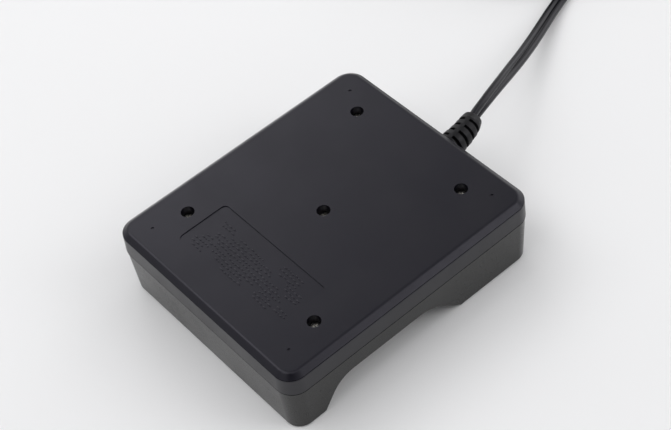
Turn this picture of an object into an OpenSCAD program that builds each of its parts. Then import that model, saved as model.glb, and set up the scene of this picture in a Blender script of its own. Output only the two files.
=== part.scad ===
// Four-bay charger for cylindrical lithium-ion cells, with a built-in mains supply and a fixed lead.
// It lies as it is drawn: battery bays down on the table, base cover up. Millimetres.
// X runs across the bays, Y along the cells to the end that the lead leaves, Z up. Z = 0 is the rim.

/* [Case] */
// Length of the case along the cells
case_l = 141; // [137:1:156]
// Width of the case across the bays
case_w = 121; // [115:1:140]
// Height from the rim to the face of the base cover
case_h = 38; // [36:0.5:44]
// Corner radius of the case in plan
corner_r = 9; // [6:0.5:12]
// Wall thickness of the two mouldings
wall = 2.2; // [1.8:0.1:2.6]
// Height of the base cover, from the parting line to its face
cover_h = 11.7; // [11:0.1:14]
// Thickness of the base cover's face
face_t = 2.4; // [1.6:0.1:2.8]
// Step in from the cover to the housing at the parting line
step_in = 0.3; // [0.1:0.1:0.6]
// Draft of the cover's side band
cover_draft = 0.35; // [0:0.05:0.6]
// Draft of the housing's outer wall
housing_draft = 1.3; // [0.8:0.1:1.5]
// Height of the shadow gap between the cover and the housing
gap_h = 0.5; // [0.3:0.1:0.8]
// Depth of the shadow gap
gap_d = 0.5; // [0.3:0.1:0.8]
// Rounding of the rim that the case stands on
rim_r = 1.2; // [0.6:0.1:2]
// Height of the lip that keys the cover to the housing
lip_h = 1.4; // [0.8:0.1:2]
// Thickness of the lip
lip_t = 0.9; // [0.6:0.1:1.2]

/* [Base face] */
// Width of the bevel round the base face
bevel_w = 2.8; // [2:0.1:3.2]
// Drop of the bevel round the base face
bevel_h = 2.3; // [1.6:0.1:2.8]
// Radius of the rounded edge between the base face and the bevel
bevel_r = 2.4; // [0.6:0.2:3]
// Height of the shadow groove under the bevel
groove_h = 0.4; // [0.2:0.1:0.8]
// Depth of the shadow groove
groove_d = 0.5; // [0.2:0.1:0.8]
// Length of the rating panel, across the case
panel_w = 69; // [50:1:76]
// Width of the rating panel, along the case
panel_l = 27; // [16:1:30]
// Depth of the rating panel
panel_d = 0.4; // [0.2:0.05:0.6]
// Corner radius of the rating panel
panel_r = 2.5; // [1:0.5:5]
// Distance from the front edge of the case to the panel
panel_in = 16.8; // [13.5:0.1:18.5]
// Diameter of the four ejector marks
mark_d = 1.5; // [0.8:0.1:2.5]
// Depth of the ejector marks
mark_depth = 0.4; // [0.2:0.05:0.6]
// Distance of the marks from the side edges
mark_in_x = 13.5; // [11:0.5:16]
// Distance of the marks from the end edges
mark_in_y = 12.2; // [11:0.1:14.5]

/* [Side scoops] */
// Height of the finger scoop that runs right through across the bays
scoop_h = 16.2; // [12:0.1:17]
// Distance from the front end of the case to the scoop's mouth
scoop_front = 16.5; // [15.5:0.5:20]
// Distance from the rear end of the case to the scoop's mouth
scoop_rear = 43.6; // [42.5:0.1:46]
// Slope of the scoop's front side, in degrees
slope_front = 58; // [48:1:65]
// Slope of the scoop's rear side, in degrees
slope_rear = 41; // [38:1:56]
// Radius at the crown of the scoop's front side
crown_r = 14; // [8:0.5:18]
// Radius at the crown of the scoop's rear side
crown_rear_r = 18; // [10:0.5:20]
// Radius that rolls the scoop into the rim
mouth_r = 3; // [1:0.5:4]

/* [Battery bays] */
// Distance between the bays' axes
bay_pitch = 23; // [22:0.5:25]
// Diameter of the round floor of a bay
bay_d = 20; // [19:0.5:21]
// Thickness of the skin round a bay
skin = 2; // [1.6:0.1:2.2]
// Length of the longest cell
long_cell = 69; // [66:0.5:70]
// Length of the shortest cell
short_cell = 32; // [30:0.5:40]
// Distance from the rear end of the case to the bays' contact wall
contact_wall_in = 46.5; // [45.5:0.5:48.5]
// Thickness of the contact wall
contact_wall_t = 2.4; // [1.8:0.1:2.6]

/* [Sliding contacts] */
// Thickness of a slider's upright along the bay
upright_t = 3; // [2.4:0.1:3.6]
// Distance from the rim to the slider's free end
upright_top = 6; // [4:0.5:9]
// Width of the slider's foot
foot_w = 7.6; // [7:0.1:8]
// Length of the slider's foot
foot_l = 12.5; // [10:0.5:14]
// Height of the slider's foot
foot_h = 2.7; // [2.2:0.1:3]
// Width of the slot that the slider runs in
slot_w = 3.4; // [3:0.1:3.8]
// Side clearance of the slider in its slot
slide_gap = 0.2; // [0.15:0.05:0.3]
// Clearance that keeps moving pieces off the case
free_gap = 0.3; // [0.25:0.05:0.4]
// Thickness of the contact strips
strip_t = 0.3; // [0.2:0.05:0.4]
// Thickness of the contact plates
plate_t = 0.5; // [0.4:0.05:0.7]
// Width of the contact plates
plate_w = 8; // [6:0.5:9]
// Height of the contact plates
plate_h = 10; // [8:0.5:11]
// Height of the positive contact's dimple
nub_h = 1.2; // [0.8:0.1:1.6]
// Diameter of the positive contact's dimple
nub_d = 5; // [4:0.5:6]
// Outer diameter of a return spring
spring_d = 4.8; // [4.2:0.1:5]
// Wire diameter of a return spring
spring_wire = 0.5; // [0.4:0.05:0.6]
// Turns of a return spring
spring_turns = 10; // [8:1:12]

/* [Screws] */
// Diameter of the recess over a screw
recess_d = 6.3; // [6:0.1:7]
// Depth of the recess over a screw
recess_depth = 5.5; // [4.5:0.1:6]
// Thickness of cover under a screw's head
seat_t = 2; // [1.5:0.1:2.5]
// Diameter of a screw's head
head_d = 5.4; // [5:0.1:5.8]
// Height of a screw's head
head_h = 1.9; // [1.5:0.1:2.2]
// Diameter of a screw's shank
shank_d = 2.8; // [2.4:0.1:3]
// Length of a screw under its head
screw_l = 7.6; // [6.5:0.1:8]
// Distance of the rear screws from the rear end of the case
rear_screw_in = 18.9; // [17.5:0.1:20.5]
// Distance of the rear screws from the middle plane
rear_screw_x = 34.5; // [32:0.5:36]
// Distance of the front screws from the front end of the case
front_screw_in = 29.1; // [26.5:0.1:31.5]
// Distance of the front screws from the outer bays' axes
front_screw_out = 8.8; // [8.6:0.1:10]
// Distance of the middle screw from the case's centre, towards the lead
middle_screw_y = 1.2; // [-2:0.1:3]

/* [Lead] */
// Width of the flat twin lead
lead_w = 6.8; // [6:0.1:7]
// Thickness of the flat twin lead
lead_t = 3.8; // [3.2:0.1:4.2]
// Offset of the strain relief from the middle plane
relief_x = 4; // [-4:0.5:6]
// Length of the strain relief outside the case
relief_l = 22; // [20:0.5:26]
// Radius of the strain relief at the case
relief_r = 6.6; // [6.2:0.1:7.4]
// Radius of the strain relief's last ring
relief_tip_r = 5.4; // [5:0.1:6]
// Radius of the strain relief where the lead leaves it
relief_end_r = 4.7; // [4.2:0.1:5]
// Angle through which the strain relief bends sideways, in degrees
relief_bend = 24; // [16:1:28]
// Number of rings on the strain relief
relief_rings = 5; // [4:1:7]
// Share of each ring's pitch that is solid
ring_share = 0.6; // [0.5:0.05:0.7]
// Width of the spine that joins the rings
spine_w = 2.2; // [1.6:0.1:3.4]
// Radius of the neck that the case grips
neck_r = 5; // [4.6:0.1:5.4]

/* [Circuit board] */
// Thickness of the circuit board
board_t = 1.6; // [1:0.1:1.6]
// Gap from the board to the case walls at its sides
board_gap = 3.7; // [3.2:0.1:5]
// Distance of the indicator lamps from the rear end of the case
lamp_in = 37.5; // [36.5:0.5:38.5]
// Diameter of an indicator lamp
lamp_d = 5; // [3:0.5:5]

/* [Hidden] */
$fn = 48;
tiny = 0.01;
over = 1;

// Levels
parting_z = case_h - cover_h;
deck_z = parting_z - 0.3;
bay_floor = deck_z - skin;
bay_axis = bay_floor - bay_d / 2;
seat_z = case_h - recess_depth;
boss_z = seat_z - seat_t;
ceiling_z = case_h - face_t;

// Plan
half_l = case_l / 2;
half_w = case_w / 2;
bays = [1, 2, 3, 4];
wall_y = half_l - contact_wall_in;
tip_y = wall_y - plate_t - nub_h;
rest_y = tip_y - short_cell;
travel = long_cell - short_cell;
neck_l = upright_t + 1;
bay_back = rest_y - plate_t - neck_l - travel - free_gap;
inner_front = -half_l + wall + cover_draft + 0.15;
seat_y = inner_front + 3.9;
slot_back = bay_back + 0.1;
slot_front = rest_y + free_gap;
foot_front = rest_y + 3.5;
foot_back = foot_front - foot_l;
channel_w = foot_w / 2 + free_gap;
channel_t = 1;
channel_h = 3.2;
rail_x = slot_w / 2 + 0.2;
rail_w = channel_w - rail_x - 0.1;
wiper_z = deck_z + strip_t + 0.02;
foot_z = wiper_z + strip_t;
spring_z = foot_z + spring_d / 2 - 0.1;
spigot_d = spring_d - 2 * spring_wire - 0.5;
spigot_l = 2.5;
plate_low = bay_axis - plate_h / 2;
plate_high = bay_axis + plate_h / 2;

// Board
board_front = wall_y + contact_wall_t + 0.6;
board_back = half_l - step_in - wall - 2.3;
board_w = 2 * (half_w - step_in - wall - board_gap);
board_r = 3;
pad_l = 4;
board_z = deck_z - board_t;
lamp_y = half_l - lamp_in;
post_x = board_w / 2 - 3.5;
post_d = 5;
pin_d = 2.4;
post_rows = [board_front + 4.5, board_back - 5];

// Parts on the board, placed from its middle, its rear edge and its front edge
transformer_at = [-13, board_back - 15.2];
input_can_at = [14.5, board_back - 19.7];
output_can_x = -44.5;
output_can_rows = [board_back - 23.7, board_back - 12.2];
fuse_at = [9.5, board_back - 6.2];
rectifier_at = [27, board_back - 4.7];
sink_at = [44, board_back - 19.2];
controller_at = [0, board_front + 7.5];
choke_at = [-36, board_back - 5.2];
core_w = 25;
core_l = 20;
core_h = 16.5;
core_base = 1.6;
leg_w = 6.2;
side_leg_w = 3.1;
window_h = 9.4;
bobbin_w = 13.5;
flange_h = 0.9;
foot_w_bobbin = 3.2;
fuse_l = 20;
sink_t = 1.6;
sink_l = 20;
sink_h = 18;
fin_t = 1.2;

// Screws
front_screw_x = 1.5 * bay_pitch + front_screw_out;
screw_places = [
    [-rear_screw_x, half_l - rear_screw_in], [rear_screw_x, half_l - rear_screw_in],
    [-front_screw_x, -half_l + front_screw_in], [front_screw_x, -half_l + front_screw_in],
    [0, middle_screw_y]
];
boss_d = 6;
cover_boss_d = recess_d + 2.6;
pilot_d = shank_d + 0.1;
clear_d = shank_d + 0.4;

// Strain relief
lip_in = wall + cover_draft + 0.15;
relief_neck = lip_in + lip_t + 0.05;
flange_t = 2;
relief_turn = relief_l * 180 / (PI * relief_bend);
relief_end = [
    relief_x - relief_turn * (1 - cos(relief_bend)),
    half_l + relief_turn * sin(relief_bend), parting_z
];

// Route of the lead from the strain relief to the coil: x, y, z, and how far its width stands up
lead_route = [
    [1.05, 87.9, 26.3, 94], [-1.9, 95, 26.1, 96], [-3.6, 100, 25.7, 98], [-6.6, 108, 24.4, 104],
    [-11.9, 121, 21.2, 113], [-17.6, 134, 17.1, 130], [-23.7, 148, 13, 148], [-29.8, 161, 9.3, 160],
    [-36, 174, 6.2, 171], [-41.6, 186, 3.8, 178], [-46.1, 197, 2.3, 180], [-50.2, 209, 2.7, 160],
    [-54.1, 221, 3.7, 124], [-58, 234, 4.45, 90]
];
// Route of the lead from the coil to the plug
tail_route = [
    [-133.2, 222, 11.35, 90], [-133.3, 215, 10.9, 76], [-133.3, 208, 9.7, 54], [-133.1, 202, 8.4, 30],
    [-132.8, 197, 7.5, 10], [-132.6, 193, 7, 0], [-132.5, 190, 6.8, 0]
];
coil_at = [-95, 224];
coil_r = 36;
coil_turn_t = 4.4;
coil_layer_h = 6.9;
coil_base = 1;
tie_t = 0.8;
tie_w = 6;
tie_angle = 250;
plug_at = [-132.5, 192, 6.8];
plug_heading = 180;
plug_w = 21;
plug_t = 13.6;
plug_l = 22;
plug_neck = 12;
blade_gap = 12.7;
blade_w = 6.35;
blade_t = 1.5;
blade_l = 16.5;

function bay_x(n) = (n - 2.5) * bay_pitch;
function unit(v) = v / norm(v);
function arc(c, r, a0, a1, n) =
    [for (i = [0:n]) let (a = a0 + (a1 - a0) * i / n) c + r * [cos(a), sin(a)]];

// Crown line of the scoop, pushed into the material by off
function crown(off) = let (
    a = slope_front, b = slope_rear,
    y0 = -half_l + scoop_front, y1 = half_l - scoop_rear,
    c0 = [y0 + scoop_h / tan(a) + crown_r * tan(a / 2), scoop_h - crown_r],
    c1 = [y1 - scoop_h / tan(b) - crown_rear_r * tan(b / 2), scoop_h - crown_rear_r]
) concat(arc(c0, crown_r + off, 90 + a, 90, 12), arc(c1, crown_rear_r + off, 90, 90 - b, 12));

// A point of the scoop's straight side at height z, pushed into the material by off
function front_side(off, z) =
    [-half_l + scoop_front - off * sin(slope_front) + (z - off * cos(slope_front)) / tan(slope_front), z];
function rear_side(off, z) =
    [half_l - scoop_rear + off * sin(slope_rear) - (z - off * cos(slope_rear)) / tan(slope_rear), z];

module plate(w, l, r, h) {
    linear_extrude(h) {
        square([w - 2 * r, l], center = true);
        square([w, l - 2 * r], center = true);
        for (x = [-1, 1], y = [-1, 1]) translate([x * (w / 2 - r), y * (l / 2 - r)]) circle(r);
    }
}

// A slice of the case at height z, in from its full outline
module slice(inset, z) {
    translate([0, 0, z]) plate(case_w - 2 * inset, case_l - 2 * inset, corner_r - inset, tiny);
}

// A ring that cuts a groove round the case, so far in from its outline
module outer_ring(inset, h) {
    difference() {
        plate(case_w + 2, case_l + 2, corner_r + 1, h);
        translate([0, 0, -over])
            plate(case_w - 2 * inset, case_l - 2 * inset, corner_r - inset, h + 2 * over);
    }
}

// A profile drawn in Y and Z, run across the case
module across(w) {
    rotate([90, 0, 90]) translate([0, 0, -w / 2]) linear_extrude(w) children();
}

// A profile drawn in X and Z, run along the case from y0 to y1
module along(y0, y1) {
    translate([0, y1, 0]) rotate([90, 0, 0]) linear_extrude(y1 - y0) children();
}

// A box by its lowest and highest corner
module span(lo, hi) {
    translate(lo) cube(hi - lo);
}

module at_screws() {
    for (p = screw_places) translate([p[0], p[1], 0]) children();
}

module at_bay(n) {
    translate([bay_x(n), 0, 0]) children();
}

// The round-floored channel of a bay, open at the rim
module bay_profile(r) {
    translate([0, bay_axis]) circle(r);
    translate([-r, -over]) square([2 * r, bay_axis + over]);
}

module relief_notch() {
    translate([relief_x, half_l - 3 * wall, parting_z]) rotate([-90, 0, 0])
        cylinder(r = neck_r + 0.1, h = 4 * wall);
}

module base_cover() color([0.16, 0.16, 0.18]) difference() {
    union() {
        cover_shell();
        at_screws() translate([0, 0, boss_z]) cylinder(d = cover_boss_d, h = ceiling_z - boss_z + tiny);
        for (n = bays, s = [-1, 1]) at_bay(n)
            span([s * (channel_w - 0.6) - 0.6, seat_y + 2, foot_z + foot_h + free_gap],
                [s * (channel_w - 0.6) + 0.6, foot_front + free_gap, ceiling_z + tiny]);
    }
    at_screws() {
        translate([0, 0, seat_z]) cylinder(d = recess_d, h = recess_depth + over);
        translate([0, 0, boss_z - over]) cylinder(d = clear_d, h = seat_t + 2 * over);
    }
    translate([0, -half_l + panel_in + panel_l / 2, case_h - panel_d])
        plate(panel_w, panel_l, panel_r, panel_d + over);
    for (x = [-1, 1], y = [-1, 1])
        translate([x * (half_w - mark_in_x), y * (half_l - mark_in_y), case_h - mark_depth])
            cylinder(d = mark_d, h = mark_depth + over);
    relief_notch();
}

module cover_shell() {
    bevel_z = case_h - bevel_h;
    tilt = atan(bevel_h / bevel_w);
    edge = cover_draft + bevel_w + bevel_r * tan(tilt / 2);
    difference() {
        hull() {
            slice(0, parting_z);
            slice(cover_draft, bevel_z);
            for (i = [0:5]) let (a = tilt * i / 5)
                slice(edge - bevel_r * sin(a), case_h - tiny - bevel_r * (1 - cos(a)));
        }
        translate([0, 0, parting_z - over])
            plate(case_w - 2 * (wall + cover_draft), case_l - 2 * (wall + cover_draft),
                corner_r - wall, ceiling_z - parting_z + over);
        translate([0, 0, bevel_z - groove_h]) outer_ring(cover_draft + groove_d, groove_h);
    }
}

module housing() color([0.2, 0.2, 0.2]) difference() {
    union() {
        difference() {
            housing_block();
            housing_hollow();
        }
        housing_lip();
        housing_bosses();
        for (n = bays) at_bay(n) slider_channel();
    }
    across(case_w + 2) scoop_profile();
    for (n = bays) at_bay(n) {
        along(bay_back, wall_y) bay_profile(bay_d / 2);
        span([-slot_w / 2, slot_back, bay_floor - 3], [slot_w / 2, slot_front, deck_z + over]);
        span([-plate_w / 2 - 0.2, wall_y - plate_t - 0.2, bay_axis], [0.7, wall_y, deck_z + over]);
        translate([0, lamp_y, -over]) cylinder(d = lamp_d + 0.3, h = wall + 2 * over);
    }
    at_screws() translate([0, 0, seat_z - screw_l - 0.4]) cylinder(d = pilot_d, h = screw_l);
    translate([0, 0, parting_z - gap_h]) outer_ring(step_in + gap_d, gap_h + tiny);
    relief_notch();
}

// The finger scoop in Y and Z: an S-curved side at each end, rolled into the rim below
module scoop_profile() {
    front_lip = [front_side(0, 0)[0] - mouth_r * tan(slope_front / 2), mouth_r];
    rear_lip = [rear_side(0, 0)[0] + mouth_r * tan(slope_rear / 2), mouth_r];
    polygon(concat(
        [[front_lip[0], -over]],
        arc(front_lip, mouth_r, -90, slope_front - 90, 6),
        crown(0),
        arc(rear_lip, mouth_r, 270 - slope_rear, 270, 6),
        [[rear_lip[0], -over]]
    ));
}

module housing_block() {
    hull() {
        slice(step_in + housing_draft + rim_r, 0);
        slice(step_in + housing_draft + 0.3 * rim_r, 0.3 * rim_r);
        slice(step_in + housing_draft, rim_r);
        slice(step_in, parting_z - tiny);
    }
}

// The hollow behind the rim, the scoop and the bays, open at the parting line
module housing_hollow() {
    difference() {
        intersection() {
            hull() {
                slice(step_in + housing_draft + wall, 0);
                slice(lip_in + 0.5, parting_z);
                slice(lip_in + 0.5, case_h);
            }
            across(case_w) polygon(concat(
                [[-half_l, case_h], [-half_l, wall], front_side(wall, wall)],
                crown(skin),
                [rear_side(wall, wall), [half_l, wall], [half_l, case_h]]
            ));
        }
        for (n = bays) at_bay(n) {
            along(bay_back - skin, wall_y + contact_wall_t) bay_profile(bay_d / 2 + skin);
            span([-channel_w - channel_t, -half_l, bay_floor],
                [channel_w + channel_t, wall_y + contact_wall_t, deck_z]);
            span([-0.8, -half_l, 0], [0.8, bay_back - skin, bay_floor + tiny]);
        }
    }
}

// The lip that the cover slips over, inside the side walls
module housing_lip() {
    root = 1.5;
    inset = lip_in + lip_t;
    translate([0, 0, parting_z - root]) difference() {
        plate(case_w - 2 * lip_in, case_l - 2 * lip_in, corner_r - wall, lip_h + root);
        translate([0, 0, -over])
            plate(case_w - 2 * inset, case_l - 2 * inset, corner_r - wall - lip_t, lip_h + root + 2 * over);
    }
}

module housing_bosses() {
    at_screws() translate([0, 0, wall - tiny]) cylinder(d = boss_d, h = boss_z - wall + tiny);
    for (x = [-1, 1], y = post_rows) translate([x * post_x, y, wall - tiny]) {
        cylinder(d = post_d, h = board_z - wall + tiny);
        cylinder(d = pin_d, h = board_z + board_t + 1 - wall);
    }
}

// The pair of guide walls behind a bay, with the post that seats the return spring
module slider_channel() {
    for (s = [-1, 1])
        span([s * (channel_w + channel_t / 2) - channel_t / 2, inner_front - tiny, deck_z - tiny],
            [s * (channel_w + channel_t / 2) + channel_t / 2, foot_front + 2, deck_z + channel_h]);
    span([-channel_w - tiny, inner_front - tiny, deck_z - tiny], [channel_w + tiny, seat_y, spring_z + 2]);
    translate([0, seat_y - tiny, spring_z]) rotate([-90, 0, 0]) cylinder(d = spigot_d, h = spigot_l);
}

module case_screws() color([0.62, 0.62, 0.64]) at_screws() translate([0, 0, seat_z]) difference() {
    rotate_extrude() polygon(concat(
        [[0, -screw_l], [shank_d * 0.3, -screw_l], [shank_d / 2, 1 - screw_l], [shank_d / 2, 0],
            [head_d / 2, 0]],
        [for (a = [0:15:75]) [head_d / 2 * cos(a), head_h * (0.4 + 0.6 * sin(a))]],
        [[0, head_h]]
    ));
    for (a = [20, 110]) rotate([0, 0, a])
        span([-head_d * 0.3, -0.45, head_h - 1.1], [head_d * 0.3, 0.45, head_h + over]);
}

// A slice of the strain relief's curve, from angle a0 to a1, of the 2D shape given
module relief_slice(a0, a1) {
    translate([relief_x - relief_turn, half_l, parting_z]) rotate([0, 0, a0])
        rotate_extrude(angle = a1 - a0) translate([relief_turn, 0]) children();
}

module strain_relief() color([0.17, 0.17, 0.18]) {
    pitch = relief_bend / relief_rings;
    core_r = lead_w / 2 + 0.6;
    cone = relief_bend - 0.75 * pitch;
    relief_slice(0, relief_bend) circle(core_r);
    for (i = [0:relief_rings - 1]) {
        r = relief_r + (relief_tip_r - relief_r) * i / (relief_rings - 1);
        last = i == relief_rings - 1;
        relief_slice(i * pitch, last ? cone + 0.1 : (i + ring_share) * pitch) circle(r);
        if (!last) relief_slice((i + ring_share / 2) * pitch, (i + 1) * pitch + 0.1)
            square([spine_w, 2 * r - 0.6], center = true);
    }
    translate([relief_x - relief_turn, half_l, parting_z]) rotate([0, 0, cone]) translate([relief_turn, 0, 0])
        rotate([-90, 0, (relief_bend - cone) / 2])
            cylinder(r1 = relief_tip_r, r2 = relief_end_r, h = relief_l * (1 - cone / relief_bend));
    translate([relief_x, half_l - relief_neck, parting_z]) rotate([-90, 0, 0]) {
        cylinder(r = neck_r, h = relief_neck + tiny);
        translate([0, 0, -flange_t]) cylinder(r = relief_r, h = flange_t);
    }
}

// The flat oval section of the lead at a point of its route, facing along direction t
function lead_ring(p, t, sides) = let (
    side = unit(cross(t, [0, 0, 1])), up = cross(side, t),
    wide = cos(p[3]) * side + sin(p[3]) * up, thin = cos(p[3]) * up - sin(p[3]) * side
) [for (i = [0:sides - 1]) let (a = 360 * (i + 0.5) / sides)
    [p[0], p[1], p[2]] + lead_w / 2 * cos(a) * wide + lead_t / 2 * sin(a) * thin];

// The faces of a closed tube of n rings with so many sides
function tube_faces(n, sides) = concat(
    [[for (j = [0:sides - 1]) j]],
    [for (i = [0:n - 2], j = [0:sides - 1]) let (
        a = i * sides + j, b = a + sides, d = i * sides + (j + 1) % sides, c = d + sides
    ) each [[a, b, c], [a, c, d]]],
    [[for (j = [sides - 1:-1:0]) (n - 1) * sides + j]]
);

module lead_tube(route, sides) {
    n = len(route);
    heading = [for (i = [0:n - 1]) let (a = route[max(i - 1, 0)], b = route[min(i + 1, n - 1)])
        unit([b[0] - a[0], b[1] - a[1], b[2] - a[2]])];
    polyhedron(
        points = [for (i = [0:n - 1]) each lead_ring(route[i], heading[i], sides)],
        faces = tube_faces(n, sides)
    );
}

module mains_lead() color([0.18, 0.18, 0.19]) lead_tube(lead_route, 10);

module lead_tail() color([0.18, 0.18, 0.19]) lead_tube(tail_route, 10);

module lead_coil() color([0.18, 0.18, 0.19]) translate([coil_at[0], coil_at[1], coil_base]) rotate_extrude()
    translate([coil_r - coil_turn_t, 0]) {
        translate([0, 1]) square([2 * coil_turn_t, 2 * coil_layer_h - 2]);
        translate([1, 0]) square([2 * coil_turn_t - 2, 2 * coil_layer_h]);
        for (x = [1, 2 * coil_turn_t - 1], y = [1, 2 * coil_layer_h - 1]) translate([x, y]) circle(1);
    }

// The tie that holds the turns together
module lead_tie() color([0.1, 0.1, 0.1]) translate([coil_at[0], coil_at[1], 0]) rotate([0, 0, tie_angle])
    difference() {
        slack = 0.05;
        half_in = coil_turn_t + 0.25;
        low = coil_base - slack;
        high = coil_base + 2 * coil_layer_h + slack;
        span([coil_r - half_in - tie_t, -tie_w / 2, 0], [coil_r + half_in + tie_t, tie_w / 2, high + tie_t]);
        span([coil_r - half_in, -tie_w, low], [coil_r + half_in, tie_w, high]);
    }

module at_plug() {
    translate(plug_at) rotate([0, 0, plug_heading]) children();
}

// The plug lies on its flat side: its blades point along its own +Y
module plug_body() color([0.17, 0.17, 0.18]) at_plug() hull() {
    for (x = [-1, 1], z = [-1, 1]) translate([x * (plug_w / 2 - 3), 0, z * (plug_t / 2 - 3)]) {
        translate([0, plug_neck + 2, 0]) sphere(3, $fn = 24);
        translate([0, plug_neck + plug_l - 1, 0]) rotate([-90, 0, 0]) cylinder(r = 3, h = 1, $fn = 24);
    }
    rotate([-90, 0, 0]) cylinder(r = lead_w / 2 + 1.2, h = 4, $fn = 24);
}

module plug_blades() color([0.75, 0.72, 0.62]) at_plug() for (x = [-1, 1]) difference() {
    translate([x * blade_gap / 2, plug_neck + plug_l, 0]) {
        span([-blade_t / 2, 0, -blade_w / 2], [blade_t / 2, blade_l - 2, blade_w / 2]);
        span([-blade_t / 2, 0, -blade_w / 2 + 1.5], [blade_t / 2, blade_l, blade_w / 2 - 1.5]);
    }
    translate([x * blade_gap / 2 - over, plug_neck + plug_l + blade_l - 5, 0]) rotate([0, 90, 0])
        cylinder(d = 3, h = 2 * over);
}

// The lead's two cores, from the strain relief to the board's pads
module lead_cores() color([0.45, 0.3, 0.2]) {
    wire_d = 2.2;
    wire_l = 9;
    end_y = half_l - relief_neck - flange_t;
    for (s = [-1, 1]) translate([relief_x + s * lead_w / 4, end_y - wire_l, deck_z + wire_d / 2 + 0.05])
        rotate([-90, 0, 0]) cylinder(d = wire_d, h = wire_l);
}

module circuit_board() color([0.1, 0.35, 0.2]) difference() {
    translate([0, (board_front + board_back) / 2, board_z])
        plate(board_w, board_back - board_front, board_r, board_t);
    for (x = [-1, 1]) translate([x * rear_screw_x, half_l - rear_screw_in, board_z - over])
        cylinder(d = boss_d + 1, h = board_t + 2 * over);
    for (x = [-1, 1], y = post_rows) translate([x * post_x, y, board_z - over])
        cylinder(d = pin_d + 0.2, h = board_t + 2 * over);
    span([relief_x - relief_r - 1, board_back - 2, board_z - over],
        [relief_x + relief_r + 1, board_back + over, board_z + board_t + over]);
}

// Hangs a part's drawing under the board, its own +Z pointing down
module on_board(at) {
    translate([at[0], at[1], board_z]) rotate([180, 0, 0]) children();
}

module transformer_core() color([0.22, 0.22, 0.23]) on_board(transformer_at) difference() {
    span([-core_w / 2, -core_l / 4, core_base], [core_w / 2, core_l / 4, core_base + core_h]);
    for (s = [-1, 1]) translate([s * (core_w / 2 - side_leg_w + leg_w / 2) / 2, 0, core_base + core_h / 2])
        cube([core_w / 2 - side_leg_w - leg_w / 2, core_l, window_h], center = true);
}

module transformer_winding() color([0.75, 0.6, 0.2]) on_board(transformer_at) difference() {
    low = core_base + (core_h - window_h) / 2;
    union() {
        for (z = [low + 0.1, low + window_h - flange_h - 0.1]) translate([0, 0, z])
            plate(bobbin_w, core_l, 2, flange_h);
        translate([0, 0, low + 0.5]) plate(bobbin_w - 1, core_l - 3, 4, window_h - 1);
        for (s = [-1, 1]) translate([0, s * (core_l - foot_w_bobbin) / 2, 0])
            plate(bobbin_w, foot_w_bobbin, 0.5, low + 0.5);
    }
    cube([leg_w + 0.2, core_l / 2 + 0.2, 3 * core_h], center = true);
}

// The can of an electrolytic capacitor, with the rolled neck near its base
module can(d, h) {
    neck = 0.4;
    rotate_extrude() polygon([[0, 0], [d / 2 - neck, 0], [d / 2, neck], [d / 2, 1.6], [d / 2 - neck, 2.1],
        [d / 2, 2.6], [d / 2, h - neck], [d / 2 - neck, h], [0, h]]);
}

module input_capacitor() color([0.12, 0.14, 0.3]) on_board(input_can_at) can(13, 20);

module output_capacitors() color([0.12, 0.14, 0.3])
    for (y = output_can_rows) on_board([output_can_x, y]) can(10, 16);

module fuse() color([0.85, 0.85, 0.8]) on_board(fuse_at) {
    cap_d = 5.2;
    cap_l = 5;
    axis_z = cap_d / 2 + 1.6;
    for (s = [-1, 1]) translate([s * (fuse_l - cap_l) / 2, 0, 0]) {
        translate([-cap_l / 2, 0, axis_z]) rotate([0, 90, 0]) cylinder(d = cap_d, h = cap_l);
        span([-0.4, -1.5, 0], [0.4, 1.5, axis_z - cap_d / 4]);
    }
    translate([-fuse_l / 2 + 1, 0, axis_z]) rotate([0, 90, 0]) cylinder(d = cap_d - 0.8, h = fuse_l - 2);
}

module bridge_rectifier() color([0.12, 0.12, 0.12]) on_board(rectifier_at) {
    body = [8.4, 6.4, 3.4];
    stand = 0.8;
    translate([0, 0, stand]) plate(body[0], body[1], 0.6, body[2]);
    for (x = [-1, 1], y = [-1, 1]) translate([x * 2.6, y * 2.6, 0]) cylinder(d = 0.8, h = stand + tiny);
}

module heat_sink() color([0.7, 0.7, 0.72]) on_board(sink_at) {
    span([-sink_t / 2, -sink_l / 2, 0], [sink_t / 2, sink_l / 2, sink_h]);
    for (i = [-2:2]) translate([sink_t / 2 - tiny, i * (sink_l - fin_t) / 4, 0])
        span([0, -fin_t / 2, 1.5], [6.2, fin_t / 2, sink_h]);
}

// The transistor's tab lies against the heat sink's plain side
module switching_transistor() color([0.12, 0.12, 0.12]) on_board(sink_at - [sink_t / 2, -3.5]) {
    tab = [1.3, 10, 14.5];
    body = [4.5, 10, 9];
    stand = 4;
    span([-tab[0], -tab[1] / 2, stand], [0, tab[1] / 2, stand + tab[2]]);
    span([-body[0], -body[1] / 2, stand], [-tab[0] + tiny, body[1] / 2, stand + body[2]]);
    for (y = [-2.54, 0, 2.54]) span([-3, y - 0.4, 0], [-2.4, y + 0.4, stand + tiny]);
}

module charge_controller() color([0.12, 0.12, 0.12]) on_board(controller_at) {
    body = [10, 6.4, 3.2];
    stand = 0.6;
    pin = 0.3;
    translate([-body[0] / 2, -body[1] / 2, stand]) cube(body);
    for (i = [-1.5:1.5], s = [-1, 1]) translate([i * 2.54, s * (body[1] / 2 + 0.4), 0]) {
        span([-pin, -pin / 2, 0], [pin, pin / 2, stand + body[2] / 2]);
        span([-pin, s > 0 ? -0.5 : -pin / 2, stand + body[2] / 2 - pin],
            [pin, s > 0 ? pin / 2 : 0.5, stand + body[2] / 2]);
    }
}

module filter_choke() color([0.6, 0.35, 0.15]) on_board(choke_at) {
    r = 4.5;
    waist = 3.4;
    h = 10;
    end = 1.2;
    rotate_extrude() polygon([[0, 0], [r, 0], [r, end], [waist, end + 0.4], [waist, h - end - 0.4],
        [r, h - end], [r, h], [0, h]]);
}

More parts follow.
